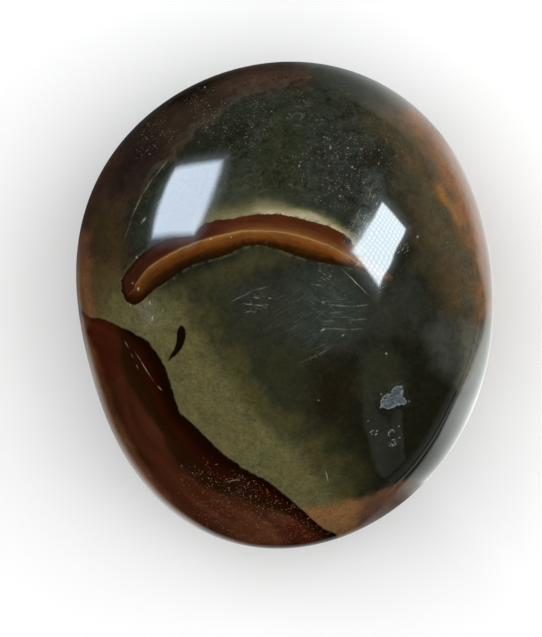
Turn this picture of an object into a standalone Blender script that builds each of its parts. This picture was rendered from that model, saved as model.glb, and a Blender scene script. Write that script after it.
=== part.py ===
"""A polished pebble of polychrome jasper, lying on the small flat spot of its underside.

The stone is one piece: a rounded, slightly lopsided egg, broad face up. X is its width, Y its length
and Z its height. The origin is on the surface it rests on, under the middle of its outline.
"""

import math

import bmesh
import bpy
import numpy as np
from mathutils import Vector

# Driving dimensions, in metres
LENGTH = 0.0600
WIDTH = 0.0514
UPPER_HEIGHT = 0.0194  # from the widest ring up to the crown
LOWER_DEPTH = 0.0171  # from the widest ring down to where the underside would end if it had no flat
FLAT_SPOT_DEPTH = 0.0005  # how much of the underside the flat spot takes off

# The outline seen from above: its radius every 30 degrees, from +X through +Y
OUTLINE_RADII = (
    0.0257, 0.0267, 0.0297, 0.0300, 0.0294, 0.0275,
    0.0255, 0.0257, 0.0288, 0.0297, 0.0283, 0.0261,
)
OUTLINE_WAVES = 4  # the waves round the outline that are kept, which rounds it between the radii

SHOULDER_FULLNESS = 0.03  # how far the shoulders stand outside a plain ellipsoid, as a share
CROWN_LEAN = Vector((0.030, 0.020))  # how far the crown leans to +X and +Y for each metre of height

SPHERE_SUBDIVISIONS = 5
CUT_TOLERANCE = 1e-7  # a point this close to the flat spot's level counts as on it
STONE_COLOUR = (0.050, 0.045, 0.024, 1)  # dark olive green, the mean of the stone's zones
STONE_ROUGHNESS = 0.06
NODE_NAME = "pebble"
COLLECTION_NAME = "jasper_pebble"


def clear_scene():
    for scene_object in list(bpy.data.objects):
        bpy.data.objects.remove(scene_object)


def outline_waves():
    """The outline as a mean radius and a few waves, each a complex number."""
    waves = np.fft.rfft(OUTLINE_RADII) / len(OUTLINE_RADII)
    waves[1:] *= 2
    return waves[: OUTLINE_WAVES + 1]


def outline_radius(angle, waves):
    """Distance from the middle to the outline, in the direction of this angle."""
    turns = np.exp(1j * angle * np.arange(len(waves)))
    return float((waves * turns).real.sum())


def pebble_point(direction, waves):
    """Where the surface lies in this direction from the middle of the widest ring."""
    level = math.hypot(direction.x, direction.y)
    fullness = 1 + SHOULDER_FULLNESS * (2 * level * direction.z) ** 2
    radius = outline_radius(math.atan2(direction.y, direction.x), waves)
    mean_height = (UPPER_HEIGHT + LOWER_DEPTH) / 2
    crown_excess = (UPPER_HEIGHT - LOWER_DEPTH) / 2
    z = (mean_height + crown_excess * direction.z) * direction.z * fullness
    x = direction.x * radius * fullness + CROWN_LEAN.x * z
    y = direction.y * radius * fullness + CROWN_LEAN.y * z
    return Vector((x, y, z))


def cut_flat_spot(mesh_data, height):
    """Cuts the underside off level at this height and closes the cut with one flat, sharp-edged face."""
    everything = mesh_data.verts[:] + mesh_data.edges[:] + mesh_data.faces[:]
    cut = bmesh.ops.bisect_plane(
        mesh_data,
        geom=everything,
        dist=CUT_TOLERANCE,
        plane_co=(0, 0, height),
        plane_no=(0, 0, -1),
        clear_outer=True,
    )
    rim = [part for part in cut["geom_cut"] if isinstance(part, bmesh.types.BMEdge)]
    for edge in rim:
        edge.smooth = False
    bmesh.ops.contextual_create(mesh_data, geom=rim)
    bmesh.ops.recalc_face_normals(mesh_data, faces=mesh_data.faces)


def fit_to_size(mesh_data):
    """Scales the outline to its length and width, and stands it on the origin by its bounding box."""
    points = np.array([vertex.co for vertex in mesh_data.verts])
    low, high = points.min(axis=0), points.max(axis=0)
    scale = Vector((WIDTH / (high[0] - low[0]), LENGTH / (high[1] - low[1]), 1))
    foot = Vector(((low[0] + high[0]) / 2, (low[1] + high[1]) / 2, low[2]))
    for vertex in mesh_data.verts:
        vertex.co = (vertex.co - foot) * scale


def pebble_mesh():
    waves = outline_waves()
    mesh_data = bmesh.new()
    bmesh.ops.create_icosphere(mesh_data, subdivisions=SPHERE_SUBDIVISIONS, radius=1)
    for vertex in mesh_data.verts:
        vertex.co = pebble_point(vertex.co.normalized(), waves)
    cut_flat_spot(mesh_data, FLAT_SPOT_DEPTH - LOWER_DEPTH)
    fit_to_size(mesh_data)
    mesh = bpy.data.meshes.new(NODE_NAME)
    mesh_data.to_mesh(mesh)
    mesh_data.free()
    mesh.shade_smooth()
    return mesh


def jasper_material():
    """The polished stone's overall colour, without its markings."""
    material = bpy.data.materials.new("polished_jasper")
    material.use_nodes = True
    shader = material.node_tree.nodes["Principled BSDF"]
    shader.inputs["Base Color"].default_value = STONE_COLOUR
    shader.inputs["Roughness"].default_value = STONE_ROUGHNESS
    shader.inputs["Metallic"].default_value = 0.0
    return material


def main():
    clear_scene()
    collection = bpy.data.collections.new(COLLECTION_NAME)
    bpy.context.scene.collection.children.link(collection)
    mesh = pebble_mesh()
    mesh.materials.append(jasper_material())
    collection.objects.link(bpy.data.objects.new(NODE_NAME, mesh))


main()
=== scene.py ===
"""The looks of a polished pebble of polychrome jasper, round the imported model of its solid.

The stone is remade as a fine mesh from the same driving dimensions, with its few shallow chips, and
stands for the CAD node "pebble". Its markings are zones of colour that run through the stone. Each is
an outline or a line on the plan of the upper face. Every point of the mesh holds how far it lies from
each of these, in mm, and the material turns the distances into colour, with noise for the grain.
"""

import math
from collections import namedtuple
from functools import reduce

import bmesh
import bpy
import numpy as np
from mathutils import Color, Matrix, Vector
from mathutils.bvhtree import BVHTree


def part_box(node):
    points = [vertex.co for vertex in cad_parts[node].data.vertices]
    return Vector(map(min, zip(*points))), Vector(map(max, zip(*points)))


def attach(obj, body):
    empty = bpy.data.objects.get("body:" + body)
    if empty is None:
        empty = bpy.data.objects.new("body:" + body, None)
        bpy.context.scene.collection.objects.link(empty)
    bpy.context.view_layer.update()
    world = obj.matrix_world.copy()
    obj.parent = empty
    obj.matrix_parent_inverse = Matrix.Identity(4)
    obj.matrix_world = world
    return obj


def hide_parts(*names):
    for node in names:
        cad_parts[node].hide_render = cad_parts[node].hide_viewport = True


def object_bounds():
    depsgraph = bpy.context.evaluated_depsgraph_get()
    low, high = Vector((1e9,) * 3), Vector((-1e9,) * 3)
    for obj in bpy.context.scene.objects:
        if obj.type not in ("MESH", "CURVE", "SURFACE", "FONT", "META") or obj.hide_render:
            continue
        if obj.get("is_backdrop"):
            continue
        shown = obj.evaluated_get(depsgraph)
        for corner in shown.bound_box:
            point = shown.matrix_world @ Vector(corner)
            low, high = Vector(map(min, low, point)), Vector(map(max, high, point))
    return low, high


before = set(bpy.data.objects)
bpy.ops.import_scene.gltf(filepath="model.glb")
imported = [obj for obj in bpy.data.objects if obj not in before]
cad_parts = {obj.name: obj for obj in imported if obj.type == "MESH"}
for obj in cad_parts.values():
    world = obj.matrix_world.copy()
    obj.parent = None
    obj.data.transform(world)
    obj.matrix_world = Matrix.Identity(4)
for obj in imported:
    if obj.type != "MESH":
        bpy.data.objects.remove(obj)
cad_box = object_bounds()

MM = 0.001

# The stone's form, in metres, as in the part's source
UPPER_HEIGHT = 0.0194  # from the widest ring up to the crown
LOWER_DEPTH = 0.0171  # from the widest ring down to where the underside would end if it had no flat
FLAT_SPOT_DEPTH = 0.0005
FLAT_SPOT_ROUNDING = 0.00004  # how softly the flat spot meets the underside round it
OUTLINE_RADII = (
    0.0257, 0.0267, 0.0297, 0.0300, 0.0294, 0.0275,
    0.0255, 0.0257, 0.0288, 0.0297, 0.0283, 0.0261,
)  # the outline's radius every 30 degrees, from +X through +Y
OUTLINE_WAVES = 4
SHOULDER_FULLNESS = 0.03
CROWN_LEAN = (0.030, 0.020)
RING_HEIGHT = LOWER_DEPTH - FLAT_SPOT_DEPTH
CELLS_PER_CUBE_SIDE = 124  # the mesh is a cube's grid blown up into the stone

# The polish
POLISH_ROUGHNESS = 0.04
JASPER_IOR = 1.54
POLISH_WAVINESS = 0.0035  # mm
CHIP_GRAIN = 0.03  # mm

LIGHT_SHARE = 1.15  # how much brighter than its own colour the light shows the stone's upper face
WAVE_GAIN = 7.0  # turns a noise texture's 0 to 1 into a wave
DARKEST_SHARE = 0.35  # the darkest that a wave makes a colour
ANY_HEIGHT = 1000.0  # mm, far more than the stone's height
FAR_OUTSIDE = 99.0  # mm

# Markings on the plan of the upper face, in mm from the middle
BAND_UPPER_EDGE = (
    (-19.6, 2.9), (-18.9, 4.1), (-17.2, 5.9), (-15.8, 7), (-13.6, 7.9), (-11, 8.3), (-10.1, 9.3),
    (-8.3, 10), (-6, 10.3), (-3.8, 10.7), (-1.5, 10.8), (0.7, 10.5), (3.5, 9.8), (5.7, 9.1), (7.7, 7.8),
    (8.1, 7), (9.3, 6), (11.2, 4.6), (13, 3.2),
)
BAND_LOWER_EDGE = (
    (-19.6, 1.5), (-18.9, 0.3), (-18, 0), (-17.1, 0.3), (-16, 1.4), (-13.8, 2.9), (-11.4, 4.5), (-9.4, 5.2),
    (-7.1, 5.8), (-4.9, 6.8), (-3, 7), (-0.8, 6.5), (1.4, 5.7), (3.5, 5.1), (6.4, 4.6), (9.2, 4), (11, 3),
    (12.9, 2.3),
)
INCLUSION_OUTLINE = (
    (-12.3, -2.4), (-11.8, -3.1), (-11.9, -4.4), (-12.7, -5.7), (-14, -6.7), (-13, -4.8), (-12.8, -3.2),
)
# Lines on the plan. A place to the left of a line, as it runs, counts as inside.
LINES = {
    "band_line": (
        (-17.7, 2.5), (-16.3, 4.3), (-14, 5.8), (-11.7, 6.9), (-9.4, 7.7), (-7.1, 8.3), (-4.9, 8.7),
        (-2.3, 8.7), (-0.1, 8.5), (2.1, 8), (4.2, 7.3), (5.9, 6.6), (7.8, 5.5), (9.4, 4.4), (13, 2.6),
    ),
    "mahogany": (
        (10, -34), (6.6, -28.3), (4.6, -27), (2.2, -24.7), (-1.7, -21.3), (-4.7, -19.6), (-7.7, -17.4),
        (-10.8, -14.3), (-12.5, -12.8), (-13.1, -11), (-14.4, -7.2), (-16.1, -4.6), (-17.4, -3.7),
        (-19.2, -2.8), (-22.1, -1.6), (-23.8, -1.4), (-26, 0), (-34, 1.5),
    ),
    "mahogany_heart": (
        (9, -33.5), (3.6, -27.5), (-0.5, -25.2), (-5.1, -23.2), (-9.1, -22.3), (-11.1, -20.8), (-13, -19.1),
        (-15, -15.7), (-17.4, -12.1), (-19.5, -7.6), (-20, -3.6), (-21.5, 0.5),
    ),
    "shade": (
        (-33, 5.3), (-21, 5.2), (-19.2, 6), (-19.2, 8.4), (-18.7, 11.2), (-17.3, 14), (-14.8, 17.1),
        (-12.6, 19.8), (-10.2, 22.1), (-7.2, 23.9), (-4.2, 25.7), (1.8, 27.7), (5.6, 32.1),
    ),
}

# Soft zones of the ground, painted in this order. Fade is how far a zone's edge spreads to either
# side, and wobble how far it strays, both in mm.
Zone = namedtuple("Zone", "name colour fade wobble outline")
NEAR_BLACK_GREEN = (28, 28, 18)
ZONES = (
    Zone("crown", (48, 51, 40), 2.8, 0.4, (
        (-18.5, 6.6), (-17.3, 11.4), (-14.4, 17.1), (-10.2, 22.2), (-5, 27.5), (1.8, 31), (8, 30),
        (12, 24.5), (13.2, 17.3), (13.5, 12.5), (9.5, 9.4), (-10.1, 8.3))),
    Zone("crown_dark", (37, 39, 29), 2, 0.5, (
        (-13.8, 17.4), (-10.8, 21), (-6.6, 22.6), (-3, 22), (-2.7, 19.6), (-6, 17.5), (-10.1, 17.5))),
    Zone("crown_olive", (46, 49, 34), 2, 0.4, (
        (-2.7, 21.5), (0, 22.3), (1.8, 19.6), (1.8, 16), (0.6, 13), (-2.7, 13.4), (-4.2, 16.6))),
    Zone("crown_low", (56, 60, 46), 1.4, 0.4, (
        (-8.8, 13.8), (-6.6, 15.2), (-3.6, 13.8), (-1.6, 12.6), (-4, 11.4), (-8.4, 11.4))),
    Zone("crown_grey", (45, 47, 41), 2, 0.4, (
        (4.2, 20.9), (7.8, 21.5), (10.8, 18.5), (11.3, 14.9), (8.9, 11.8), (5.3, 13), (3.2, 16.6))),
    Zone("dusk", (46, 46, 31), 2.6, 0.4, (
        (-12, 1.6), (-6, 3.2), (-1, -2.5), (3, -5.5), (5, -9), (5, -13), (3, -18), (-3, -13), (-8, -6))),
    Zone("centre", (47, 49, 40), 2.4, 0.4, (
        (-6.6, 1.5), (-4.3, 3.3), (0.6, 5), (5.9, 3.9), (12, 2.5), (15, 4.5), (17.2, 1), (17.2, -3.4),
        (14.4, -3), (11.5, -4), (7.1, -5.6), (2.4, -5.6), (-1, -3.8), (-3.9, -3), (-5.9, -1.6))),
    # A bluish haze over the scratched middle: the scratches' pale tone with a painted sheen of the lamps'
    # light
    Zone("teal", (49, 56, 49), 2.2, 0.3, (
        (2.6, 3.3), (6.7, 3.6), (8.8, 1.5), (8.6, -1.8), (6.5, -3.7), (2.6, -3.4), (1, 0))),
    Zone("under_band", (60, 58, 37), 1.4, 0.3, (
        (-16.1, 0.6), (-14.3, 2.3), (-10.1, 3.9), (-5.3, 6.2), (-2.7, 6.6), (0.6, 6.2), (-0.6, 4.4),
        (-5.3, 3.4), (-10.1, 1.6), (-13.7, -0.2))),
    Zone("warm_dark", (32, 27, 17), 2.2, 0.3, (
        (2.9, -8), (4.9, -6.8), (7.9, -7.1), (7.7, -11.3), (6.5, -15.5), (4, -14.3), (2.9, -11.3))),
    Zone("panel_top", (43, 44, 31), 1.4, 0.4, (
        (9.2, -4.6), (12.8, -5), (14.2, -7.5), (13.4, -10.6), (10.2, -11.2), (8.8, -8))),
    Zone("flank", (88, 77, 56), 3.4, 0.3, (
        (10.6, 22.8), (14.6, 27.2), (22, 34), (34, 13), (34, -2), (24, -3), (20.6, -1.6), (19.3, 0.8),
        (18, 4.3), (16, 8.1), (15.2, 11.5), (14.5, 15.1), (12.6, 19))),
    Zone("crown_edge", (41, 40, 31), 1.8, 0.4, (
        (10.2, 16.4), (12, 15.6), (12.8, 17.4), (11.4, 19.2), (10.2, 18.4))),
    # Scuffs beside the right glint, with a painted bluish glow for the soft box's light that they spread
    Zone("scuffs_and_painted_glow", (63, 68, 63), 1, 0.3, (
        (8.2, 9.6), (9.6, 14.6), (11.2, 15.4), (11, 12.4), (8.6, 7.6), (7.4, 7.8))),
    Zone("gleam", (64, 66, 58), 1.6, 0.3, (
        (17.8, -2), (20.4, -1.7), (22.6, -3.8), (22.4, -7.6), (20, -8.8), (17.4, -5.4))),
    Zone("gleam_rim", (96, 93, 78), 1.1, 0.3, (
        (21.4, -2.4), (23.4, -2.6), (24.6, -4), (24, -8.4), (21.8, -9.8), (21.4, -6))),
    Zone("left_side", (76, 61, 36), 1.8, 0.3, (
        (-20, 6.3), (-18.8, 0.6), (-19.2, -3), (-34, -3), (-34, 8), (-23, 8.6))),
    Zone("olive_edge", (50, 49, 29), 2, 0.4, (
        (2, -14.6), (5.2, -14.8), (8.4, -17.4), (10.4, -20.8), (10, -23.4), (3, -22))),
    Zone("olive", (96, 91, 57), 2.8, 0.5, (
        (-22, 0.2), (-16.5, 1.6), (-12.9, 0.8), (-10.6, -1.8), (-8.2, -5.2), (-5, -9.4), (-2.2, -12.9),
        (1.2, -15.4), (3.9, -18), (6.2, -21), (7.8, -25), (6, -34), (-12, -33), (-26, -12))),
    Zone("olive_gold", (67, 63, 35), 1.3, 0.4, (
        (-11.2, -0.6), (-8.6, -0.8), (-7, -3.6), (-4.8, -7.2), (-3, -10.4), (0.2, -13.2), (4, -16.6),
        (6.2, -18.4), (7.8, -20.6), (8.4, -22.8), (6.4, -23), (4.4, -20.6), (1.6, -17.2), (-1.8, -14.2),
        (-4.4, -11), (-6.8, -7.2), (-9.4, -3.6))),
    Zone("olive_pale", (110, 104, 78), 1, 0.3, (
        (-18.3, -0.1), (-17.3, 0.8), (-16, 0.6), (-15.2, -0.8), (-15.3, -2.4), (-16.6, -3), (-17.6, -2.1))),
    Zone("left_rim", (124, 84, 54), 1, 0.15, (
        (-24.5, 7), (-23.9, 3.5), (-23.6, -3), (-34, -3), (-34, 8))),
    Zone("rust", (152, 104, 66), 1.6, 0.3, (
        (14.8, 23), (17, 20.4), (18.2, 16.9), (19.8, 13.8), (21.3, 10.8), (22.4, 8), (23.2, 4.8),
        (23.8, 1.4), (24.4, -1.4), (34, -1.6), (34, 24), (20, 32))),
    Zone("rust_patch", (158, 100, 66), 1, 0.2, (
        (17.7, 21.6), (18.9, 22.1), (20.2, 20.4), (20.5, 18.7), (19.4, 18.2), (18.3, 19.4))),
    Zone("rust_streak", (150, 108, 62), 0.7, 0.15, (
        (18.2, 14.6), (18.9, 14.3), (19.9, 12.6), (20.9, 11.2), (21.2, 9.9), (20.7, 9.9), (19.8, 11.4),
        (18.7, 12.8))),
    Zone("tan_end", (137, 99, 61), 0.7, 0.15, (
        (1.3, -25.2), (4.2, -24.4), (7.8, -23.6), (11.5, -22.8), (13.5, -22.1), (15.2, -21.5), (22, -24),
        (16, -34), (0, -34))),
    Zone("pink_end", (100, 71, 56), 0.9, 0.2, (
        (9.4, -23.4), (11.5, -22.7), (13.5, -22), (15.2, -21.4), (22, -24), (16, -34), (9.4, -30))),
)

# The purple brown zone at the upper left: its colour just inside its edge and far inside, and its parts
SHADE_COLOURS = ((58, 45, 35), (24, 15, 10))
SHADE_ZONES = (
    Zone("shade_flank", (60, 48, 29), 1.8, 0.3, (
        (-18.2, 6), (-18.4, 9), (-20.2, 11.4), (-25, 12.5), (-34, 9), (-34, 5))),
    Zone("shade_dark", (37, 27, 24), 2, 0.6, (
        (-15.6, 20.4), (-15.2, 18.8), (-15.8, 17.4), (-17.6, 15.8), (-19.4, 13.6), (-20.8, 14.6), (-20, 17.8),
        (-17.2, 20.8))),
    # A painted contact shadow: a dark strip along the upper rim
    Zone("painted_shadow_top", (33, 22, 16), 1.2, 0.4, (
        (-13, 23.8), (-10.6, 24.6), (-8.6, 26.6), (-9, 29), (-16, 27))),
    Zone("shade_rim", (66, 41, 31), 0.8, 0.2, (
        (-24.7, 5), (-24.4, 8), (-23.4, 12), (-21.6, 16), (-19.6, 19), (-24, 24), (-34, 12), (-34, 5))),
    Zone("shade_rim_low", (104, 66, 46), 0.7, 0.15, (
        (-24, 4.4), (-24.2, 7), (-24.3, 9), (-34, 10), (-34, 4))),
)
# A painted reflection: a paler, pinkish patch at the top of the purple brown zone
SHADE_PAINTED_REFLECTION = Zone("shade_painted_reflection", (80, 60, 49), 2, 0.3, (
    (-7.2, 26), (-5.6, 27.8), (-2, 29.2), (2.2, 29.8), (2.6, 27), (0.6, 26.4), (-1.8, 26.2), (-5, 25.4)))

MAHOGANY_ZONES = (
    Zone("mahogany_end", (78, 33, 16), 1.5, 0.3, (
        (0.8, -25.4), (-0.2, -28), (-0.4, -34), (9, -34), (7, -27))),
    # Paler brown along the left rim: partly the stone's own colour, partly painted light that makes up for
    # the lamps lighting the sides less
    Zone("mahogany_pale_rim_and_painted_light", (142, 96, 64), 1.1, 0.15, (
        (-25.6, -1.6), (-24.9, -3.4), (-23.5, -5.7), (-22.7, -8.2), (-22, -10.7), (-21.1, -13.2),
        (-19.9, -15.5), (-18.6, -18), (-17, -20.4), (-15.3, -22.7), (-13.4, -25.1), (-11, -27.9), (-14, -34),
        (-40, -20), (-40, -1))),
)

# Patches of the upper face where pale specks crowd: middle and radius in mm
Patch = namedtuple("Patch", "x y radius")
SPECKLED = [Patch(*numbers) for numbers in (
    (1.6, 23.5, 1.8), (4.7, 20.2, 2.2), (7.5, 18.4, 2.6), (7.3, 15.4, 2.6), (1.7, 16.6, 1.6),
    (-3.4, 22.2, 2), (-8.6, 22.6, 2.4), (-16, 20.5, 2.2), (-10.5, 25.5, 1.8), (-4.3, 20, 1.6),
    (5, 12.7, 1.2), (6.8, 12.4, 1.4), (11.8, 18.6, 1.6),
)]
DUSTY = [Patch(*numbers) for numbers in (
    (-10.5, -20.8, 1.6), (-7.6, -22.4, 2.6), (-4, -24, 3), (-0.8, -25.4, 3), (-5.5, -26.5, 3.6),
    (-0.5, -28.6, 3.6), (3, -27.6, 2.4), (-8.6, -25, 2.2),
)]

# Marks in the polish of the upper face: the middle, the angle from +X in degrees, the length and the
# width, both in mm, and how plain the mark is
Mark = namedtuple("Mark", "x y angle length width strength", defaults=(1,))
CHIPS = (Mark(12.4, -11.5, 10, 2.6, 2.2), Mark(13.2, -10.8, 62, 3.2, 1.8), Mark(13.6, -11.4, -14, 2.4, 1.5))
CHIP_DEPTHS = (0.12, 0.14, 0.10)  # mm
CHIP_EDGE = 0.575  # where a chip ends, and how wide its slope is, in its lengths and widths
CHIP_SLOPE = 0.25
PITS = (Mark(10.6, -15.2, 20, 1.2, 0.9), Mark(12.7, -15.3, 60, 1.1, 0.8), Mark(12.9, -16.5, 0, 1.3, 1.1))
PALE_BLOT = Mark(2.9, 10.3, -19, 6.4, 2.2)  # the brightest part of the cream glow
BURNT_CORNER = Mark(7.6, 7.6, -35, 1.7, 1.1)  # where the band's upper half ends
HAZE = Mark(8.3, 8.8, 58, 9.5, 3.6)  # where the polish is a little worn by scratches
SPECKS = [Mark(*numbers) for numbers in (
    (-18.2, 2.6, 0, 0.35, 0.3, 0.6), (-17.5, 1.9, 80, 0.6, 0.4, 1), (-17.7, 5.7, 60, 0.45, 0.35, 1),
    (-8.8, 7.8, 0, 0.35, 0.3, 0.7), (-6.4, 8, 30, 0.4, 0.3, 0.7), (-16.1, 0.2, 90, 0.5, 0.35, 0.9),
    (-15.8, -1.6, 80, 0.8, 0.35, 1), (-18.5, 0, 0, 0.35, 0.35, 0.6), (-14.5, -0.7, 0, 0.35, 0.3, 0.6),
    (-9.7, 26.5, 45, 0.4, 0.35, 0.9), (4.7, 20, 0, 0.35, 0.25, 0.7), (5.4, 18.7, 60, 0.45, 0.35, 0.9),
    (7.5, 18.7, 0, 0.35, 0.3, 0.8), (8, 16.4, 90, 0.35, 0.35, 0.8), (9.1, 18.6, 0, 0.35, 0.3, 0.7),
    (5.2, 16.5, 0, 0.3, 0.25, 0.6), (1.7, 16.5, 70, 0.6, 0.25, 0.8), (6.5, 12.9, 0, 0.35, 0.3, 0.7),
    (7.9, 13.3, 0, 0.3, 0.25, 0.6), (12, -5.8, 0, 0.35, 0.35, 0.9), (11.4, -12.2, 0, 0.35, 0.3, 0.9),
    (13.4, -9.9, 90, 0.5, 0.4, 1), (14.8, -11.5, 0, 0.35, 0.25, 0.6), (15.8, 8.1, 60, 0.5, 0.35, 0.9),
    (11.4, -10.6, 0, 0.35, 0.25, 0.8), (13.6, -14.5, 0, 0.3, 0.3, 0.7), (9.9, -13.8, 0, 0.3, 0.25, 0.5),
    (13.7, -15.9, 20, 0.5, 0.25, 0.7),
)]
SCRATCHES = [Mark(*numbers) for numbers in (
    (-16.8, -7.4, -57, 4.6, 0.17, 0.95), (-14.95, -9.95, -45, 1, 0.25, 0.8),
    (-19, -4.7, -60, 1.3, 0.2, 0.6), (-17.7, -7.4, -63, 0.8, 0.18, 0.5), (-18.3, -6.1, -60, 0.7, 0.18, 0.4),
    (8.4, 2.6, -44, 5.4, 0.18, 0.75), (-5.2, 0.95, 27, 3.8, 0.2, 0.45), (-2.9, 1.9, 13, 2.4, 0.2, 0.4),
    (-3.35, 0.85, -8, 1, 0.22, 0.75), (-1.85, 0.78, -10, 0.7, 0.22, 0.7), (-4.3, 0.05, -6, 1.8, 0.18, 0.7),
    (-3, -0.1, -4, 1.5, 0.18, 0.7), (-4.3, -0.8, 18, 0.9, 0.18, 0.6), (-3.7, -0.85, -25, 0.9, 0.18, 0.55),
    (3.75, 2.3, -9, 1.6, 0.22, 0.5), (4.5, 0.2, -40, 0.7, 0.3, 0.8), (6.4, -0.1, -5, 3.6, 0.28, 0.45),
    (8.9, -0.1, 6, 2.4, 0.26, 0.45), (5.9, -0.95, 5, 1.6, 0.28, 0.4), (8.6, -1.75, 3, 2.6, 0.28, 0.35),
    (4.5, -2.95, 30, 0.9, 0.35, 0.9), (6.2, -2.9, -3, 3.2, 0.3, 0.4), (8.3, -2.9, 4, 2.2, 0.28, 0.35),
    (3.6, -6, 26, 5.4, 0.3, 0.2), (4.5, -5.6, 30, 2.6, 0.26, 0.3), (6.9, -3.6, 27, 0.6, 0.3, 0.9),
    (5, -20.45, -75, 1.9, 0.26, 0.9), (-6.2, -21, 12, 2.2, 0.18, 0.8), (-16.9, 10.1, 50, 1.2, 0.35, 1),
    (-14.8, 16.4, 53, 3.6, 0.2, 0.55), (-16.4, 14.3, 57, 3.4, 0.24, 0.5),
    (-17.7, 11.9, 66, 3.6, 0.28, 0.65), (-18.8, 9, 71, 3.8, 0.18, 0.3), (10.2, 13.5, 74, 3, 0.14, 0.5),
    (8.2, 9.7, 66, 2.6, 0.14, 0.5), (9, 8.9, 54, 2.2, 0.14, 0.5),
)]

# Patches of fine scratches that run one way: the middle and the radius of the patch in mm, the angle
# they run at in degrees, how long and how wide each one is in mm, and how plain they are
Hatch = namedtuple("Hatch", "x y radius angle length width strength")
HATCHES = [Hatch(*numbers) for numbers in (
    (1.4, -1.2, 6, 31, 3, 0.18, 0.11), (6, -0.8, 4.8, 3, 2.2, 0.18, 0.2), (5, 0.6, 5, -38, 2.4, 0.12, 0.16),
    (4.6, 3.7, 2, -20, 0.6, 0.18, 0.45), (3.8, -5, 3.2, 28, 3, 0.16, 0.16),
    (-3.2, 0.1, 2.2, -2, 0.8, 0.16, 0.3), (8, 7.8, 2.4, 60, 2, 0.11, 0.75),
    (9.3, 10.2, 2, 62, 2, 0.11, 0.7), (10.4, 12.6, 1.8, 76, 2, 0.11, 0.6),
    (8.6, 9, 2.8, -12, 1.2, 0.11, 0.45), (8.4, 5.6, 2, 48, 1.6, 0.11, 0.7),
    (11, 2.2, 1.8, 35, 1.4, 0.12, 0.35), (13.9, 6.6, 1.6, 50, 0.6, 0.16, 0.5),
    (-15.4, 13.4, 3, 60, 4, 0.13, 0.15), (-5.4, -21.6, 3.4, 14, 1.6, 0.12, 0.12),
)]

SCRATCH_STRAY = 0.06  # mm
PATH_STEPS = 6  # straight pieces between two points of an outline, which follow a smooth curve

# Below the widest ring the zones turn and drift as they go down, so the underside isn't the upper
# face again
TURN_PER_MM = math.radians(3.2)
DRIFT_PER_MM = (0.35, 0.25)
TURN_EASE = 4.0  # mm of depth over which the turn sets in

# The view: straight down on the upper face
IMAGE_HEIGHT_ON_RING = 0.07856  # what the image's height spans at the widest ring
VIEW_MIDDLE = (-0.00166, -0.00163)  # the plan point at the image's middle
VIEW_DISTANCE = 0.45  # from the widest ring
SENSOR_HEIGHT = 0.036

# Soft boxes that show in the polish: the corners of the glint on the upper face, in mm, the light, how
# softly the card ends, how bright its skirt and how plain its honeycomb is, and how far its right side
# bulges, all three as shares
SoftBox = namedtuple("SoftBox", "name glint colour strength edge skirt honeycomb bow")
SOFT_BOXES = (
    SoftBox("left_soft_box", ((-13.1, 16.3), (-7.5, 17.2), (-10.8, 8.2), (-15.9, 7.8)),
            (0.78, 0.91, 1.09), 15.5, 0.12, 0.12, 0.04, 0.17),
    SoftBox("right_soft_box", ((11.5, 12.3), (14.5, 9), (11.2, 2.1), (7.7, 6.3)),
            (0.83, 0.95, 1.03), 24.5, 0.05, 0.08, 0.32, 0),
)
SOFT_BOX_DISTANCE = 0.55
BOX_CELLS = 136  # cells along each side of a soft box's grid
BOX_SKIRT = 0.25  # how far the dim skirt round a soft box reaches, as a share of its side
BOX_EDGE_PLACE = 0.3  # how bright a soft box is, as a share, where its corners are measured
HONEYCOMB_CELLS = (9, 15)

# The dim panel's reflection, as its outline in mm and how bright it is there
DIM_PANEL = (
    (8.9, -5.5, 0.1), (8.9, -9, 0.5), (9.1, -13.6, 0.9), (9.9, -17.2, 1), (10.9, -20, 0.9),
    (12.6, -21.4, 0.6), (14.6, -20.4, 0.6), (14.4, -17.5, 0.9), (14.2, -14.6, 1), (14, -11.8, 0.7),
    (13, -8.7, 0.3), (11.4, -5.6, 0.1),
)
PANEL_FADE = ((0.02, 0.9), (0.5, 1), (0.86, 1), (1, 0))  # how bright it is from its middle to its outline

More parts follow.
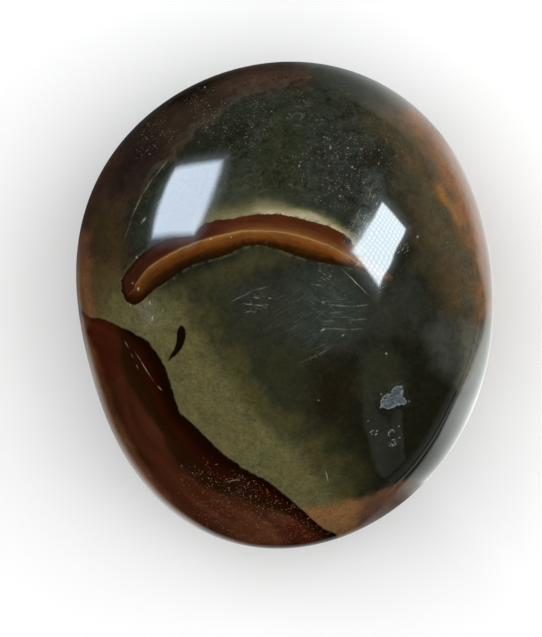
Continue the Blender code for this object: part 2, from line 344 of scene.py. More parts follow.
# The pale floor as the polish shows it, in directions from +X: how bright it is by the stone and
# at the end of the near floor, where that end is and how softly it ends in mm, how bright the floor
# is beyond, and where that has faded away
Spoke = namedtuple("Spoke", "angle contact near reach softness beyond end")
FLOOR_SPOKES = [Spoke(*numbers) for numbers in (
    (-58, 0.1, 0.1, 52, 8, 0, 70), (-54, 0.5, 0.45, 58, 8, 0, 90), (-50, 1.35, 0.95, 61, 8, 0, 90),
    (-44, 1.15, 0.8, 66, 8, 0, 90), (-40, 1.35, 1.05, 68, 8, 0.04, 100), (-34, 1.4, 1.7, 73, 9, 0.1, 130),
    (-27, 1.7, 2.35, 74, 12, 0.35, 150), (-18, 1.3, 1.75, 57, 22, 0.5, 180),
    (-8, 1.1, 1.5, 45, 6, 0.4, 220), (0, 1.1, 1, 38, 8, 0.12, 200), (10, 1.1, 0.95, 53, 12, 0.1, 220),
    (20, 1, 1.3, 45, 18, 0.22, 240), (37, 0.95, 1.2, 46, 22, 0.3, 240), (46, 0.5, 0.8, 43, 24, 0.42, 256),
    (60, 0.6, 0.9, 45, 20, 0.6, 280), (75, 0.3, 0.4, 40, 15, 0.25, 200), (90, 0.06, 0.08, 35, 8, 0, 60),
    (160, 0.02, 0.02, 35, 8, 0, 60), (180, 0.15, 0.2, 34, 3, 0, 45), (198, 0.5, 0.45, 35, 6, 0, 50),
    (212, 0.45, 0.32, 35, 7, 0, 50), (230, 0.9, 0.7, 37, 9, 0, 52), (245, 0.9, 0.8, 37, 9, 0, 52),
    (262, 0.4, 0.4, 35, 6, 0, 48), (290, 0.25, 0.3, 34, 8, 0, 60), (302, 0.1, 0.1, 52, 8, 0, 70),
)]
FLOOR_GLOW_START = 24  # mm from the middle
FLOOR_GLOW_HEIGHT = 0.1  # mm
SEAM_HEIGHT = 1.1  # mm
FLOOR_SIZE = 6.0
GLOW_STEPS = 90
SEAM_DIRECTIONS = (-58, 0)  # where a thin pale line lies beyond the near floor, in degrees from +X
SEAM_PROFILE = (
    (10, 0), (13, 1), (18, 1), (21, 0.15), (27, 0.12), (33, 0.45), (60, 0.25), (120, 0),
)  # how far beyond the near floor, in mm, and how bright there


def as_array(points):
    return np.array(points, dtype=float)


def paint(colour):
    """A colour as it looks in this light, 0 to 255, turned into the linear values of a shader."""
    linear = Color(as_array(colour) / 255).from_srgb_to_scene_linear()
    return (*(as_array(linear) / LIGHT_SHARE), 1.0)


# The stone's form

def outline_radius(angles):
    waves = np.fft.rfft(OUTLINE_RADII) / len(OUTLINE_RADII)
    waves[1:] *= 2
    numbers = np.arange(OUTLINE_WAVES + 1)
    turns = np.exp(1j * np.outer(angles, numbers))
    return (turns * waves[numbers]).real.sum(axis=1)


def soft_floor(heights, level):
    """Heights kept above a level, with a soft bend where they meet it."""
    over = (heights - level) / 2
    return level + over + np.sqrt(over ** 2 + FLAT_SPOT_ROUNDING ** 2)


def stone_points(directions):
    """Where the surface lies in these directions from the middle of the widest ring, stood on z = 0."""
    x, y, z = directions.T
    fullness = 1 + SHOULDER_FULLNESS * (2 * np.hypot(x, y) * z) ** 2
    radius = outline_radius(np.arctan2(y, x))
    mean_height = (UPPER_HEIGHT + LOWER_DEPTH) / 2
    crown_excess = (UPPER_HEIGHT - LOWER_DEPTH) / 2
    height = (mean_height + crown_excess * z) * z * fullness
    points = np.column_stack((
        x * radius * fullness + CROWN_LEAN[0] * height,
        y * radius * fullness + CROWN_LEAN[1] * height,
        soft_floor(height, -RING_HEIGHT),
    ))
    low, high = (as_array(corner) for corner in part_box("pebble"))
    own_low, own_high = points.min(axis=0), points.max(axis=0)
    return low + (points - own_low) * (high - low) / (own_high - own_low)


def cube_grid():
    """A cube's surface as a fine grid of squares."""
    grid = bmesh.new()
    bmesh.ops.create_cube(grid, size=2)
    bmesh.ops.subdivide_edges(
        grid, edges=grid.edges[:], cuts=CELLS_PER_CUBE_SIDE - 1, use_grid_fill=True)
    return grid


def chip_depths(points):
    """How deep the chips go at each point, in metres. A chip has a flat bottom and a short slope."""
    depths = np.zeros(len(points))
    x, y = points[:, 0] / MM, points[:, 1] / MM
    for chip, depth in zip(CHIPS, CHIP_DEPTHS):
        turned = ((x - chip.x) + 1j * (y - chip.y)) * np.exp(-1j * math.radians(chip.angle))
        away = np.hypot(turned.real / chip.length, turned.imag / chip.width)
        share = np.clip((CHIP_EDGE - away) / CHIP_SLOPE, 0, 1)
        depths = np.maximum(depths, share * share * (3 - 2 * share) * depth * MM)
    return np.where(points[:, 2] > RING_HEIGHT, depths, 0)


def stone_mesh():
    grid = cube_grid()
    mesh = bpy.data.meshes.new("polished_pebble")
    grid.to_mesh(mesh)
    grid.free()
    places = np.empty(len(mesh.vertices) * 3)
    mesh.vertices.foreach_get("co", places)
    even = np.tan(places.reshape(-1, 3) * math.pi / 4)
    directions = even / np.linalg.norm(even, axis=1)[:, None]
    points = stone_points(directions)
    add_markings(mesh, points)
    points[:, 2] -= chip_depths(points)
    mesh.vertices.foreach_set("co", points.ravel())
    mesh.update()
    mesh.shade_smooth()
    return mesh


# The markings, as distances on the plan

def smooth_path(points, closed=False):
    """A smooth curve through the points, as short straight pieces."""
    points = as_array(points)
    if closed:
        padded = np.vstack((points[-1:], points, points[:2]))
    else:
        padded = np.vstack((2 * points[0] - points[1], points, 2 * points[-1] - points[-2]))
    steps = (np.arange(PATH_STEPS) / PATH_STEPS)[:, None]
    pieces = []
    for before, start, end, after in zip(padded, padded[1:], padded[2:], padded[3:]):
        bend = 2 * before - 5 * start + 4 * end - after
        twist = -before + 3 * start - 3 * end + after
        pieces.append(start + 0.5 * steps * ((end - before) + steps * (bend + steps * twist)))
    if not closed:
        pieces.append(points[-1:])
    return np.vstack(pieces)


def nearest_on_path(plan, path):
    """For each plan point: its distance to the path, on which side it lies, and how far along."""
    distance = np.full(len(plan), np.inf)
    side = np.ones(len(plan))
    along = np.zeros(len(plan))
    travelled = 0.0
    for start, end in zip(path, path[1:]):
        step = end - start
        length = np.hypot(*step)
        offset = plan - start
        share = np.clip(offset @ step / length ** 2, 0, 1)
        away = np.hypot(offset[:, 0] - share * step[0], offset[:, 1] - share * step[1])
        closer = away < distance
        distance[closer] = away[closer]
        side[closer] = np.sign(step[0] * offset[:, 1] - step[1] * offset[:, 0])[closer]
        along[closer] = travelled + share[closer] * length
        travelled += length
    return distance, side, along


def depth_in_outline(plan, outline):
    """How far inside a closed outline each plan point lies, in mm; less than 0 outside it."""
    inside = np.zeros(len(plan), dtype=bool)
    x, y = plan.T
    for (x0, y0), (x1, y1) in zip(outline, np.roll(outline, -1, axis=0)):
        if y0 != y1:
            spans = (y0 > y) != (y1 > y)
            inside ^= spans & (x < x0 + (y - y0) * (x1 - x0) / (y1 - y0))
    distance = nearest_on_path(plan, np.vstack((outline, outline[:1])))[0]
    return np.where(inside, distance, -distance)


def depth_in_patches(plan, patches):
    """How far inside the nearest patch each plan point lies, in mm; less than 0 outside them."""
    depth = np.full(len(plan), -FAR_OUTSIDE)
    for patch in patches:
        away = np.hypot(plan[:, 0] - patch.x, plan[:, 1] - patch.y)
        depth = np.maximum(depth, patch.radius - away)
    return depth


def marking_plan(points):
    """The plan point, in mm, whose marking each point of the surface shows."""
    plan = points[:, :2] / MM
    depth = np.clip(RING_HEIGHT - points[:, 2], 0, None) / MM
    eased = depth ** 2 / (depth + TURN_EASE)
    cosine, sine = np.cos(eased * TURN_PER_MM), np.sin(eased * TURN_PER_MM)
    x, y = plan.T
    return np.column_stack((
        x * cosine - y * sine + eased * DRIFT_PER_MM[0],
        x * sine + y * cosine + eased * DRIFT_PER_MM[1],
    ))


def add_attribute(mesh, name, values):
    attribute = mesh.attributes.new(name, "FLOAT", "POINT")
    attribute.data.foreach_set("value", values.astype(np.float32))


def add_markings(mesh, points):
    plan = marking_plan(points)
    for zone in (*ZONES, *SHADE_ZONES, SHADE_PAINTED_REFLECTION, *MAHOGANY_ZONES):
        add_attribute(mesh, zone.name, depth_in_outline(plan, smooth_path(zone.outline, closed=True)))
    inclusion = smooth_path(INCLUSION_OUTLINE, closed=True)
    add_attribute(mesh, "inclusion", depth_in_outline(plan, inclusion))
    upper, lower = smooth_path(BAND_UPPER_EDGE), smooth_path(BAND_LOWER_EDGE)
    add_attribute(mesh, "band", depth_in_outline(plan, np.vstack((upper, lower[::-1]))))
    add_attribute(mesh, "band_lower_edge", nearest_on_path(plan, lower)[0])
    for name, line in LINES.items():
        away, side, along = nearest_on_path(plan, smooth_path(line))
        add_attribute(mesh, name, away * side)
        add_attribute(mesh, name + "_along", along)
    under = (points[:, 2] < RING_HEIGHT) * FAR_OUTSIDE
    add_attribute(mesh, "speckled", depth_in_patches(plan, SPECKLED) - under)
    add_attribute(mesh, "dusty", depth_in_patches(plan, DUSTY) - under)


# The material

class Look:
    """A material's nodes, added and linked one by one, so that its look reads as a list of steps.

    Places and distances are in mm. A wave is noise about 0 that mostly stays between -1 and 1. Colours
    are given as they look, 0 to 255.
    """

    def __init__(self, name):
        self.material = bpy.data.materials.new(name)
        self.material.use_nodes = True
        self.nodes = self.material.node_tree.nodes
        self.links = self.material.node_tree.links
        self.shader = self.nodes["Principled BSDF"]

    def add_waves(self):
        metres = self.add("TexCoord").outputs["Object"]
        self.place = self.vector_math("SCALE", {0: metres, "Scale": 1 / MM})
        self.broad = self.wave(7.0, 2.0)
        self.cloud = self.wave(2.4, 1.5)
        self.smear = self.wave(1.3, 4.0, 1.0)
        self.mottle = self.wave(0.8, 2.0)
        self.grain = self.wave(0.3, 1.0)

    def put(self, socket, value):
        """Links the value to the socket if it is another node's output, and otherwise sets it."""
        if isinstance(value, bpy.types.NodeSocket):
            self.links.new(value, socket)
        else:
            socket.default_value = paint(value) if socket.type == "RGBA" else value

    def add(self, kind, inputs=(), **settings):
        node = self.nodes.new("ShaderNode" + kind)
        for setting, value in settings.items():
            setattr(node, setting, value)
        for name, value in dict(inputs).items():
            self.put(node.inputs[name], value)
        return node

    def math(self, operation, *values):
        return self.add("Math", enumerate(values), operation=operation).outputs[0]

    def vector_math(self, operation, inputs):
        return self.add("VectorMath", inputs, operation=operation).outputs[0]

    def value(self, name):
        """A value that the mesh holds, such as the distance from a marking."""
        return self.add("Attribute", attribute_name=name).outputs["Fac"]

    def rise(self, value, low, high):
        """0 below low, 1 above high, and a soft step between. With low above high, it falls."""
        inputs = {"Value": value, "From Min": low, "From Max": high}
        if low > high:
            inputs = {"Value": value, "From Min": high, "From Max": low, "To Min": 1.0, "To Max": 0.0}
        return self.add("MapRange", inputs, interpolation_type="SMOOTHSTEP").outputs[0]

    def ridge(self, value, middle, reach, core=0.0):
        """1 within the core round a middle value, falling to 0 at its reach to either side."""
        away = self.math("ABSOLUTE", self.math("SUBTRACT", value, middle))
        return self.rise(away, reach, core)

    def both(self, *shares):
        return reduce(lambda one, other: self.math("MULTIPLY", one, other), shares)

    def either(self, *shares):
        return reduce(lambda one, other: self.math("MAXIMUM", one, other), shares)

    def mix(self, share, below, above):
        return self.add("Mix", {0: share, 6: below, 7: above}, data_type="RGBA").outputs[2]

    def wave(self, size, detail, swirl=0.0, place=None):
        """Noise about 0, with spots of about this size, which a swirl draws out into wisps."""
        noise = self.add("TexNoise", {
            "Vector": place or self.place, "Scale": 1 / size, "Detail": detail, "Roughness": 0.6,
            "Distortion": swirl})
        return self.math("MULTIPLY_ADD", noise.outputs[0], WAVE_GAIN, -WAVE_GAIN / 2)

    def streaks(self, along, across, detail):
        """A wave that follows a marking, with its places along and across it counted in spots."""
        return self.wave(1.0, detail, place=self.add("CombineXYZ", {0: along, 1: across}).outputs[0])

    def wobbled(self, distance, *waves):
        """A distance that strays by each wave times its amount in mm."""
        for amount, wave in waves:
            distance = self.math("MULTIPLY_ADD", wave, amount, distance)
        return distance

    def uneven(self, colour, *waves):
        """A colour made darker and lighter by each wave times its amount, as a share."""
        factor = self.math("MAXIMUM", self.wobbled(1.0, *waves), DARKEST_SHARE)
        return self.vector_math("SCALE", {0: colour, "Scale": factor})

    def warmed(self, colour, amount, wave):
        """A colour made redder and bluer by turns, by a wave times the amount, as a share."""
        red, blue = self.wobbled(1, (amount, wave)), self.wobbled(1, (-amount, wave))
        tint = self.add("CombineXYZ", {0: red, 1: 1.0, 2: blue})
        return self.vector_math("MULTIPLY", {0: colour, 1: tint.outputs[0]})

    def ramp(self, value, stops):
        """A colour that follows a value through the stops, each a place from 0 to 1 and a colour."""
        node = self.add("ValToRGB", {0: value})
        elements = node.color_ramp.elements
        while len(elements) < len(stops):
            elements.new(0.5)
        for element, (place, colour) in zip(elements, stops):
            element.position = place
            element.color = paint(colour)
        return node.outputs[0]

    def dots(self, cell, radius, density):
        """Scattered dots, some plain and some faint, one to a cell. Radius is a share of the cell."""
        voronoi = self.add("TexVoronoi", {"Vector": self.place, "Scale": 1 / cell})
        lottery = self.add("TexWhiteNoise", {"Vector": voronoi.outputs["Color"]})
        draws = self.add("SeparateColor", {0: lottery.outputs["Color"]})
        size = self.math("MULTIPLY_ADD", draws.outputs[1], 0.5 * radius, 0.5 * radius)
        body = self.rise(self.math("DIVIDE", voronoi.outputs["Distance"], size), 1.0, 0.4)
        plain = self.math("MULTIPLY_ADD", draws.outputs[2], 0.75, 0.25)
        return self.both(body, self.math("LESS_THAN", draws.outputs[0], density), plain)

    def own_place(self, place, shape, length, width):
        """The place as the shape sees it: from its middle, along it and across it, in these units."""
        return self.add("Mapping", {
            "Vector": place,
            "Location": (shape.x, shape.y, 0),
            "Rotation": (0, 0, math.radians(shape.angle)),
            "Scale": (length, width, ANY_HEIGHT),
        }, vector_type="TEXTURE").outputs[0]

    def oval(self, place, mark):
        """1 in the middle of a long or round mark on the plan, falling evenly to 0 at its edge."""
        own_place = self.own_place(place, mark, mark.length / 2, mark.width / 2)
        return self.add("TexGradient", {0: own_place}, gradient_type="SPHERICAL").outputs["Fac"]

    def marks(self, place, marks):
        """How plain the nearest of these marks is at each place."""
        return self.either(*(self.both(self.oval(place, mark), mark.strength) for mark in marks))

    def hatch(self, place, patch):
        """Noise drawn out into fine scratches, which thin out towards the patch's edge."""
        lines = self.wave(1.0, 1.0, place=self.own_place(place, patch, patch.length, patch.width))
        spot = Mark(patch.x, patch.y, 0, 2 * patch.radius, 2 * patch.radius)
        within = self.rise(self.oval(place, spot), 0.0, 0.7)
        dense = self.wobbled(-1.9, (1.6, within), (1.0, lines))
        return self.both(self.rise(dense, 0.0, 0.9), within, patch.strength)


def jasper_material():
    look = Look("polished_jasper")
    look.add_waves()
    colour = add_zones(look, NEAR_BLACK_GREEN, ZONES)
    for add_marking in (add_shade, add_grain, add_halo, add_mahogany, add_band, add_inclusion):
        colour = add_marking(look, colour)
    colour, worn = add_wear(look, colour)
    colour, chipped = add_chips(look, colour)
    look.put(look.shader.inputs["Base Color"], colour)
    haze = look.rise(look.oval(look.place, HAZE), 0.0, 0.6)
    roughened = look.either(look.both(worn, 0.35), look.both(chipped, 0.5), look.both(haze, 0.07))
    look.put(look.shader.inputs["Roughness"], look.math("ADD", roughened, POLISH_ROUGHNESS))
    look.shader.inputs["IOR"].default_value = JASPER_IOR
    look.put(look.shader.inputs["Normal"], polish_relief(look, chipped))
    return look.material


def add_zones(look, colour, zones):
    for zone in zones:
        strayed = look.wobbled(
            look.value(zone.name), (zone.wobble, look.broad), (zone.wobble, look.cloud),
            (zone.wobble / 3, look.mottle))
        colour = look.mix(look.rise(strayed, -zone.fade, zone.fade), colour, zone.colour)
    return colour


def add_shade(look, colour):
    """The purple brown zone at the upper left, darker towards the rim, with a painted shadow and a painted
    reflection at its top.
    """
    depth = look.value("shade")
    brown = look.mix(look.rise(look.wobbled(depth, (0.8, look.cloud)), 3.5, 9.0), *SHADE_COLOURS)
    brown = look.uneven(add_zones(look, brown, SHADE_ZONES), (0.1, look.cloud))
    strayed = look.wobbled(depth, (0.4, look.cloud), (0.2, look.mottle))
    colour = look.mix(look.rise(strayed, -1.8, 1.8), colour, brown)
    # the painted reflection at the zone's top
    colour = add_zones(look, colour, [SHADE_PAINTED_REFLECTION])
    pale_edge = look.both(look.ridge(strayed, -0.3, 0.65), look.rise(look.value("shade_along"), 20.0, 27.0))
    return look.mix(look.both(pale_edge, 0.7), colour, (76, 66, 55))


def add_halo(look, colour):
    """The olive and cream glow that hugs the band's upper edge, and a thin pale line below it."""
    outside = look.wobbled(look.both(look.value("band"), -1.0), (0.06, look.mottle), (0.05, look.grain))
    above = look.rise(look.value("band_line"), 0.0, 0.4)
    along = look.value("band_line_along")
    middle = look.both(look.rise(along, 4.0, 13.0), look.rise(along, 30.5, 15.0))
    reach = look.math("MAXIMUM", look.wobbled(1.05, (1.8, middle), (0.25, look.cloud)), 0.5)
    strayed = look.wobbled(outside, (look.both(outside, 0.1), look.smear), (0.04, look.smear))
    shrunk = look.math("DIVIDE", strayed, reach)
    glow = look.ramp(shrunk, (
        (0, (180, 168, 138)), (0.1, (168, 157, 122)), (0.22, (140, 132, 96)),
        (0.38, (112, 108, 76)), (0.58, (84, 83, 57)), (0.8, (62, 64, 45)), (1, (49, 51, 39))))
    olive_glow = look.ramp(shrunk, (
        (0, (118, 111, 77)), (0.2, (98, 94, 64)), (0.45, (77, 77, 52)), (1, (49, 51, 39))))
    glow = look.mix(look.rise(look.wobbled(along, (1.0, look.cloud)), 12.0, 20.0), olive_glow, glow)
    blot = look.rise(look.wobbled(look.oval(look.place, PALE_BLOT), (0.1, look.mottle)), 0.1, 0.7)
    glow = look.mix(look.both(blot, 0.6), glow, (184, 176, 146))
    glow = look.uneven(glow, (0.09, look.smear), (0.07, look.grain))
    ends = look.both(look.rise(along, 5.0, 12.0), look.rise(along, 29.5, 25.0))
    colour = look.mix(look.both(look.rise(shrunk, 1.0, 0.35), above, ends), colour, glow)
    thin = look.both(
        look.rise(outside, 0.45, 0.12), look.rise(look.mottle, -0.6, 0.8), look.rise(along, 31.0, 28.0))
    return look.mix(look.both(thin, 0.5), colour, (92, 87, 66))


def add_grain(look, colour):
    """What the ground shows close up: wisps, pale and dark blotches, soft veins and dark specks."""
    olive = look.rise(look.value("olive"), -3.0, 3.0)
    flank = look.rise(look.value("flank"), -3.0, 3.0)
    crown = look.rise(look.wobbled(look.value("crown"), (1.0, look.broad)), -1.0, 3.0)
    wisps = look.wobbled(0.14, (0.03, olive), (0.09, crown))
    grains = look.wobbled(0.08, (0.05, olive), (0.05, crown))
    colour = look.uneven(colour, (wisps, look.smear), (grains, look.grain))
    colour = look.warmed(colour, 0.04, look.both(look.cloud, look.wobbled(1, (1.5, flank))))
    pale = look.rise(look.wave(1.6, 4.0, 1.5), 0.2, 1.6)
    colour = look.mix(look.both(pale, look.wobbled(0.08, (0.3, crown))), colour, (90, 90, 74))
    blotch = look.rise(look.wave(2.0, 4.0, 1.0), 0.2, 1.6)
    colour = look.mix(look.both(blotch, look.wobbled(0.16, (0.38, crown))), colour, (21, 22, 14))
    vein = look.both(
        look.ridge(look.wave(3.0, 4.0, 1.0), 0.0, 0.24), look.rise(look.cloud, -0.4, 0.8))
    colour = look.mix(look.both(vein, look.wobbled(0.08, (0.3, crown))), colour, (20, 20, 13))
    density = look.both(look.wobbled(0.02, (0.16, olive)), look.rise(look.cloud, -0.8, 0.8))
    return look.mix(look.both(look.dots(0.6, 0.3, density), 0.55), colour, (30, 29, 14))


def add_mahogany(look, colour):
    """The dark red brown side: a near black heart by its edge, and a paler brown outside it."""
    depth = look.value("mahogany")
    outer = look.value("mahogany_heart")
    along = look.value("mahogany_along")
    inside = look.math("ABSOLUTE", depth)
    across = look.math("DIVIDE", inside, look.math("ADD", inside, look.math("ABSOLUTE", outer)))
    streak = look.streaks(look.both(along, 0.07), look.both(depth, 0.45), 1.5)
    heart = look.ramp(look.wobbled(across, (0.05, streak)), (
        (0, (22, 8, 0)), (0.18, (24, 7, 0)), (0.34, (38, 12, 2)), (0.5, (45, 16, 4)),
        (0.64, (38, 17, 3)), (0.84, (40, 21, 6)), (1, (46, 24, 9))))
    place_along = look.wobbled(along, (1.0, look.broad))
    low = look.rise(place_along, 22.0, 10.0)
    top = look.rise(place_along, 36.0, 46.0)
    pale = look.mix(low, look.mix(top, (72, 36, 20), (62, 24, 9)), (104, 62, 38))
    pale = look.mix(look.both(look.rise(streak, 0.2, 1.5), 0.3), pale, (92, 54, 34))
    pale = look.mix(look.both(look.rise(streak, -0.4, -1.5), 0.45), pale, (50, 24, 8))
    # the zones give a redder end and a paler rim, the rim partly painted light
    pale = add_zones(look, look.uneven(pale, (0.07, streak)), MAHOGANY_ZONES)
    pale = look.uneven(pale, (0.1, streak))
    brown = look.mix(look.rise(look.wobbled(outer, (0.15, streak)), -0.5, 0.5), heart, pale)
    edge = look.wobbled(depth, (0.05, look.mottle), (0.03, look.grain))
    colour = look.mix(look.both(look.ridge(edge, -0.16, 0.2), 0.4), colour, (108, 98, 78))
    brown = look.uneven(brown, (look.wobbled(0.03, (0.12, low)), look.smear))
    return look.mix(look.rise(edge, -0.13, 0.16), colour, brown)


def add_band(look, colour):
    """The crescent: mahogany above its golden line, ochre below it, and a burnt lower edge."""
    line = look.value("band_line")
    along = look.value("band_line_along")
    streak = look.streaks(look.both(along, 0.25), look.both(line, 2.2), 3.0)
    strayed = look.wobbled(line, (0.03, look.mottle))
    across = look.math("MULTIPLY_ADD", strayed, 0.25, 0.5)
    below = (
        (0.04, (44, 25, 8)), (0.13, (62, 33, 9)), (0.225, (90, 48, 16)), (0.315, (106, 60, 22)),
        (0.41, (118, 74, 33)), (0.47, (126, 84, 42)), (0.495, (154, 116, 70)), (0.512, (150, 110, 64)))
    left = look.ramp(across, (*below, (0.54, (90, 53, 28)), (0.58, (70, 34, 20)), (1, (68, 34, 23))))
    right = look.ramp(across, (
        *below, (0.545, (118, 77, 38)), (0.6, (106, 66, 31)), (0.69, (92, 51, 26)),
        (0.79, (79, 39, 19)), (1, (74, 38, 18))))
    tone = look.mix(look.rise(look.wobbled(along, (0.5, look.cloud)), 9.0, 18.0), left, right)
    tone = look.warmed(look.uneven(tone, (0.12, streak), (0.07, look.mottle)), 0.08, streak)
    tone = look.mix(look.rise(along, 11.0, 6.0), tone, look.vector_math("SCALE", {0: tone, "Scale": 0.8}))
    tone = look.mix(look.both(look.rise(along, 3.5, 0.5), 0.25), tone, (44, 24, 12))
    burnt_depth = look.wobbled(look.value("band_lower_edge"), (0.18, look.mottle), (0.12, look.smear))
    tone = look.mix(look.both(look.rise(burnt_depth, 0.95, 0.2), 0.85), tone, (37, 20, 5))
    ragged = look.wobbled(0.035, (0.05, look.rise(along, 14.0, 8.0)))
    depth = look.wobbled(look.value("band"), (ragged, look.mottle), (0.03, look.grain))
    rim = look.both(look.rise(depth, 0.55, 0.1), look.rise(along, 16.0, 6.0))
    corner = look.rise(look.oval(look.place, BURNT_CORNER), 0.0, 0.5)
    for burnt in (look.both(rim, 0.7), look.both(corner, 0.85)):
        tone = look.mix(burnt, tone, (24, 13, 7))
    end = look.rise(look.wobbled(along, (0.5, look.mottle)), 34.2, 32.4)
    return look.mix(look.both(look.rise(depth, -0.04, 0.1), end), colour, tone)


def add_inclusion(look, colour):
    depth = look.wobbled(look.value("inclusion"), (0.05, look.mottle))
    return look.mix(look.rise(depth, -0.1, 0.12), colour, (17, 10, 3))


def add_wear(look, colour):
    """Pale specks, dust and scratches in the polish, and how worn they leave it."""
    crowd = look.rise(look.wobbled(look.value("speckled"), (0.6, look.cloud)), -1.4, 1.2)
    crowd = look.both(crowd, look.rise(look.smear, -0.9, 0.9))
    specks = look.either(
        look.dots(0.75, 0.2, look.wobbled(0.008, (0.2, crowd))),
        look.dots(0.36, 0.36, look.both(crowd, 0.8)), look.both(look.dots(0.27, 0.46, crowd), 0.6))
    dusty = look.rise(look.wobbled(look.value("dusty"), (0.6, look.cloud)), -1.4, 1.4)
    dusty = look.both(dusty, look.rise(look.smear, -1.0, 0.8))
    dust = look.either(
        look.dots(0.45, 0.25, look.both(dusty, 0.4)), look.both(look.dots(0.24, 0.45, dusty), 0.75))
    colour = look.mix(dust, colour, (176, 138, 112))

    stray = look.add("TexNoise", {"Vector": look.place, "Scale": 0.5, "Detail": 1.0})
    reach = as_array((SCRATCH_STRAY, SCRATCH_STRAY, 0))
    place = look.vector_math("MULTIPLY_ADD", {0: stray.outputs["Color"], 1: 2 * reach, 2: look.place})
    place = look.vector_math("SUBTRACT", {0: place, 1: reach})
    height = look.add("SeparateXYZ", {0: look.place}).outputs[2]
    upper = look.rise(height, RING_HEIGHT / MM, RING_HEIGHT / MM + 1)
    own_marks = look.both(look.marks(look.place, SPECKS), look.wobbled(1.2, (0.35, look.grain)))
    scratches = look.either(look.marks(place, SCRATCHES), *(look.hatch(place, patch) for patch in HATCHES))
    broken = look.both(scratches, look.rise(look.grain, -2.0, 0.4))
    marks = look.both(look.either(look.math("MINIMUM", own_marks, 0.9), broken), upper)
    worn = look.either(look.both(specks, 0.8), marks)
    return look.mix(look.both(worn, 0.8), colour, (162, 160, 146)), worn


def add_chips(look, colour):
    """The chips' bare stone: grey, rough and mottled, with a thin paler rim, and small pale pits."""
    uneven = look.wobbled(1, (0.45, look.smear), (0.4, look.grain))
    depth = look.both(look.marks(look.place, CHIPS), uneven)
    share = look.rise(depth, 0.16, 0.24)
    bare = look.uneven(paint((63, 70, 73))[:3], (0.5, look.mottle), (0.5, look.grain))
    bare = look.mix(look.both(look.ridge(depth, 0.27, 0.13), 0.7), bare, (138, 146, 144))
    colour = look.mix(share, colour, bare)
    pit = look.both(look.marks(look.place, PITS), uneven)
    broken = look.rise(look.wobbled(look.both(look.mottle, 0.7), (1.3, look.grain)), 0.0, 1.1)
    ring = look.both(look.ridge(pit, 0.42, 0.42, 0.1), broken)
    return look.mix(look.both(ring, 0.8), colour, (132, 142, 140)), look.either(share, ring)


def polish_relief(look, chipped):
    """The faint waviness that polishing leaves, and the grain of the chips."""
    gentle = look.wave(4.5, 1.0)
    height = look.wobbled(0, (POLISH_WAVINESS, gentle), (look.both(chipped, CHIP_GRAIN), look.grain))
    return look.add("Bump", {"Strength": 1.0, "Distance": MM, "Height": height}).outputs[0]


# The floor, the camera and the light

def add_object(name, data):
    thing = bpy.data.objects.new(name, data)
    bpy.context.scene.collection.objects.link(thing)
    return thing


def add_floor():
    corners = as_array([(-1, -1, 0), (1, -1, 0), (1, 1, 0), (-1, 1, 0)]) * FLOOR_SIZE / 2
    mesh = bpy.data.meshes.new("floor")
    mesh.from_pydata(corners.tolist(), [], [(0, 1, 2, 3)])
    look = Look("pale_floor")
    look.shader.inputs["Base Color"].default_value = (0.97, 0.97, 0.96, 1)
    look.shader.inputs["Roughness"].default_value = 0.6
    mesh.materials.append(look.material)
    floor = add_object("floor", mesh)
    floor.visible_glossy = False
    floor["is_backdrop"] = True


def add_camera():
    data = bpy.data.cameras.new("camera")
    data.sensor_fit = "VERTICAL"
    data.sensor_height = SENSOR_HEIGHT / MM
    data.lens = SENSOR_HEIGHT / MM * VIEW_DISTANCE / IMAGE_HEIGHT_ON_RING
    data.clip_start = 0.01
    camera = add_object("camera", data)
    camera.location = (*VIEW_MIDDLE, RING_HEIGHT + VIEW_DISTANCE)
    bpy.context.scene.camera = camera
    return camera.location


def glowing_material(name, colour, strength):
    """Light of this colour, as strong as the mesh's attribute "glow" says."""
    look = Look(name)
    look.nodes.clear()
    emission = look.add("Emission", {"Strength": look.both(look.value("glow"), strength)})
    emission.inputs["Color"].default_value = (*colour, 1)
    look.add("OutputMaterial", {"Surface": emission.outputs[0]})
    look.material.cycles.emission_sampling = "NONE"
    return look.material


def add_glowing_sheet(name, rows, glow, colour, strength):
    """A sheet through rows of places, which shows in the polish alone, with its glow at each place."""
    count, width = glow.shape
    mesh = bpy.data.meshes.new(name)
    firsts = [row * width + column for row in range(count - 1) for column in range(width - 1)]
    faces = [(first, first + 1, first + width + 1, first + width) for first in firsts]
    mesh.from_pydata(rows.reshape(-1, 3).tolist(), [], faces)
    add_attribute(mesh, "glow", glow.ravel())
    mesh.materials.append(glowing_material(name, colour, strength))
    sheet = add_object(name, mesh)
    for rays in ("camera", "diffuse", "transmission", "shadow"):
        setattr(sheet, "visible_" + rays, False)
    sheet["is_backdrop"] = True


def mirror_finder(stone, eye):
    """A function that gives the place, at a distance, which the polish mirrors at a plan spot in mm."""
    vertices = stone.data.vertices
    tree = BVHTree.FromPolygons(
        [vertex.co for vertex in vertices], [polygon.vertices for polygon in stone.data.polygons])

    def mirrored_place(x, y):
        point, _, face, _ = tree.ray_cast(Vector((x * MM, y * MM, 1.0)), Vector((0, 0, -1)))
        corners = stone.data.polygons[face].vertices
        normal = sum((vertices[corner].normal for corner in corners), Vector()).normalized()
        return np.array(point + (point - eye).reflect(normal).normalized() * SOFT_BOX_DISTANCE)

    return mirrored_place


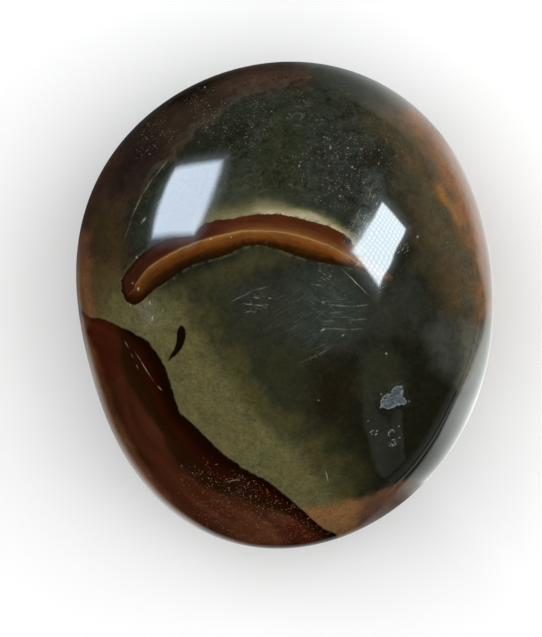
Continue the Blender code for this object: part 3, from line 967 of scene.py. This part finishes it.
def add_soft_box(box, mirrored_place):
    """A bright card whose reflection has its corners at the glint's, with a dim skirt round it."""
    first, second, third, fourth = (mirrored_place(*corner) for corner in box.glint)
    share = np.linspace(-BOX_SKIRT, 1 + BOX_SKIRT, BOX_CELLS + 1)
    across, down = np.meshgrid(share, share)
    u, v = across[..., None], down[..., None]
    u = u * (1 + 4 * box.bow * v * (1 - v))
    rows = (first * (1 - u) + second * u) * (1 - v) + (fourth * (1 - u) + third * u) * v
    beyond = np.maximum(abs(across - 0.5), abs(down - 0.5)) - 0.5
    body = np.clip(BOX_EDGE_PLACE - beyond / box.edge, 0, 1)
    columns, lines = HONEYCOMB_CELLS
    cells = abs(np.sin(across * math.pi * columns) * np.sin(down * math.pi * lines))
    skirt = box.skirt * np.clip(1 - beyond / BOX_SKIRT, 0, 1) ** 2
    glow = np.maximum(body * (1 - box.honeycomb * (1 - cells)), skirt)
    add_glowing_sheet(box.name, rows, glow, box.colour, box.strength)


def add_dim_panel(mirrored_place):
    """A grey panel, low on the right, whose reflection fades at its outline."""
    spots = smooth_path(DIM_PANEL, closed=True)
    spots = np.vstack((spots, spots[:1]))
    outline = np.array([mirrored_place(x, y) for x, y, _ in spots])
    middle = outline.mean(axis=0)
    rows = np.array([middle + (outline - middle) * share for share, _ in PANEL_FADE])
    glow = np.array([fade * spots[:, 2] for _, fade in PANEL_FADE])
    add_glowing_sheet("dim_panel", rows, glow, (0.95, 1.0, 0.95), 0.26)


def ring_rows(angles, radii, height):
    """Rows of places this high above the floor: one row for each radius in mm, once round the angles."""
    return np.stack((radii * np.cos(angles), radii * np.sin(angles), radii * 0 + height), axis=-1) * MM


def add_floor_glow():
    """The pale floor as the polish shows it, with a thin pale line beyond its near part."""
    knots = np.radians([spoke.angle for spoke in FLOOR_SPOKES])

    def along_spokes(angles, value):
        return np.interp(angles, knots, [getattr(spoke, value) for spoke in FLOOR_SPOKES])

    angles = np.linspace(knots[0], knots[-1], GLOW_STEPS + 1)
    contact, near, reach, softness, beyond, end = (
        along_spokes(angles, value) for value in Spoke._fields[1:])
    radii = np.array([reach * 0 + FLOOR_GLOW_START, reach, reach + softness, (reach + end) / 2, end])
    glow = np.array([contact, near, beyond, beyond * 0.7, beyond * 0])
    rows = ring_rows(angles, radii, FLOOR_GLOW_HEIGHT)
    add_glowing_sheet("floor_glow", rows, glow, (0.96, 1.0, 0.97), 1.0)

    angles = np.linspace(*np.radians(SEAM_DIRECTIONS), GLOW_STEPS)
    start = along_spokes(angles, "reach")
    radii = np.array([start + gap for gap, _ in SEAM_PROFILE])
    ends = np.sin(np.linspace(0, math.pi, GLOW_STEPS)) ** 0.5
    glow = np.array([share * ends for _, share in SEAM_PROFILE])
    rows = ring_rows(angles, radii, SEAM_HEIGHT)
    add_glowing_sheet("floor_seam", rows, glow, (0.98, 1.0, 0.98), 0.6)


def add_lamp(name, location, size, power, colour=(1, 1, 1)):
    data = bpy.data.lights.new(name, "AREA")
    data.size = size
    data.energy = power
    data.color = colour
    lamp = add_object(name, data)
    lamp.location = location
    lamp.rotation_euler = (-Vector(location)).to_track_quat("-Z", "Y").to_euler()
    lamp.visible_glossy = False
    lamp.visible_camera = False


def add_world():
    world = bpy.data.worlds.new("dim_room")
    world.use_nodes = True
    background = world.node_tree.nodes["Background"]
    background.inputs["Color"].default_value = (0.85, 0.93, 1.0, 1)
    background.inputs["Strength"].default_value = 0.03
    world.cycles_visibility.glossy = False
    bpy.context.scene.world = world


def main():
    stone = add_object("polished_pebble", stone_mesh())
    stone.data.materials.append(jasper_material())
    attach(stone, "root")
    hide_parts("pebble")

    add_floor()
    mirrored_place = mirror_finder(stone, add_camera())
    for box in SOFT_BOXES:
        add_soft_box(box, mirrored_place)
    add_dim_panel(mirrored_place)
    add_floor_glow()
    add_lamp("left_lamp", (-0.6, 0.3, 0.6), 0.8, 2.2, (0.96, 0.98, 1.0))
    add_lamp("right_lamp", (0.6, 0.1, 0.6), 0.8, 2.6, (0.98, 0.99, 1.0))
    add_lamp("overhead_lamp", (0.0, 0.0, 1.4), 2.4, 28.0)
    add_world()
    bpy.context.scene.view_settings.view_transform = "Standard"


main()
boxes = {"cad": cad_box, "visual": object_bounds()}
{name: [list(corner) for corner in box] for name, box in boxes.items()}
